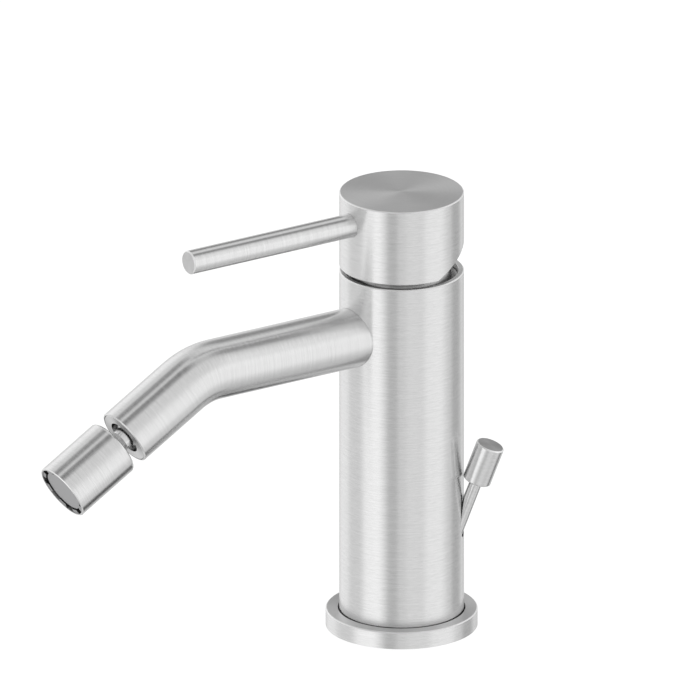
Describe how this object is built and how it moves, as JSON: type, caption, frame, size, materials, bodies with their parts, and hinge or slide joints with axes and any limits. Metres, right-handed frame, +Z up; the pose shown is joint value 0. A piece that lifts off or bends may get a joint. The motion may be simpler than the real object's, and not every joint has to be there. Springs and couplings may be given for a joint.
{
  "type": "bidet mixer",
  "caption": "Single-lever bidet mixer: round column on a flange, bent spout with a swivelling nozzle, cap with a straight lever and a slanted pop-up waste rod.",
  "frame": {"origin": "centre of the column's underside, on the deck that the mixer stands on", "axes": "+Z up; the spout and the lever point along -Y; the pop-up rod leaves the column between +X and +Y"},
  "size_m": [0.0566, 0.1845, 0.1692],
  "materials": {
    "brushed_steel": "fine brushed stainless steel, lines around the column and along the tubes",
    "polished_steel": "polished",
    "grub_steel": "dark plain steel",
    "brass": "machined brass",
    "copper_tube": "plain drawn tube",
    "cartridge_plastic": "moulded",
    "carrier_plastic": "moulded",
    "stem_metal": "nickel-plated",
    "disc_ceramic": "ground ceramic",
    "seal_rubber": "moulded rubber",
    "aerator_plastic": "moulded grey"
  },
  "bodies": {
    "base": {"column_shell": "brushed_steel", "base_block": "brass", "base_flange": "brushed_steel", "flange_gasket": "seal_rubber", "hot_riser": "copper_tube", "cold_riser": "copper_tube", "seat_block": "brass", "seat_seal": "seal_rubber", "cartridge_foot": "cartridge_plastic", "port_seals": "seal_rubber", "cartridge_housing": "cartridge_plastic", "fixed_disc": "disc_ceramic", "ring_nut": "brass", "chamber_seal": "seal_rubber", "dome_cover": "polished_steel", "spout_tube": "brushed_steel", "swivel_socket": "brass", "seat_retainer": "brass", "rod_guide": "cartridge_plastic"},
    "rotor": {"cartridge_carrier": "carrier_plastic", "stem_pin": "polished_steel"},
    "disc": {"moving_disc": "disc_ceramic", "disc_slider": "cartridge_plastic"},
    "handle": {"cartridge_stem": "stem_metal", "handle_cap": "brushed_steel", "lever_rod": "brushed_steel", "grub_screw": "grub_steel"},
    "seat_ring": {"ball_seat": "cartridge_plastic"},
    "nozzle": {"swivel_ball": "polished_steel", "nozzle_shell": "brushed_steel", "aerator_housing": "aerator_plastic", "aerator_screen": "aerator_plastic", "flow_diffuser": "aerator_plastic", "aerator_gasket": "seal_rubber"},
    "popup": {"popup_rod": "brushed_steel", "popup_knob": "brushed_steel"}
  },
  "joints": [
    {"name": "handle_turn", "type": "hinge", "parent": "base", "child": "rotor", "pos_m": [0, 0, 0.1304], "axis": [0, 0, 1], "range_deg": [-50, 50]},
    {"name": "handle_lift", "type": "hinge", "parent": "rotor", "child": "handle", "pos_m": [0, 0, 0.1304], "axis": [-1, 0, 0], "range_deg": [0, 21]},
    {"name": "disc_slide", "type": "slide", "parent": "rotor", "child": "disc", "axis": [0, -1, 0], "range_m": [0, 0.0034]},
    {"name": "nozzle_spin", "type": "hinge", "parent": "base", "child": "seat_ring", "pos_m": [0, -0.11683, 0.1013], "axis": [0, -0.866, -0.5], "continuous": true},
    {"name": "nozzle_tilt", "type": "hinge", "parent": "seat_ring", "child": "nozzle", "pos_m": [0, -0.11683, 0.1013], "axis": [1, 0, 0], "range_deg": [-15, 15]},
    {"name": "popup_lift", "type": "slide", "parent": "base", "child": "popup", "axis": [0.243, 0.243, 0.9391], "range_m": [0, 0.02]}
  ],
  "couplings": [
    {"joint": "disc_slide", "follows": "handle_lift", "m_per_rad": 0.009}
  ]
}
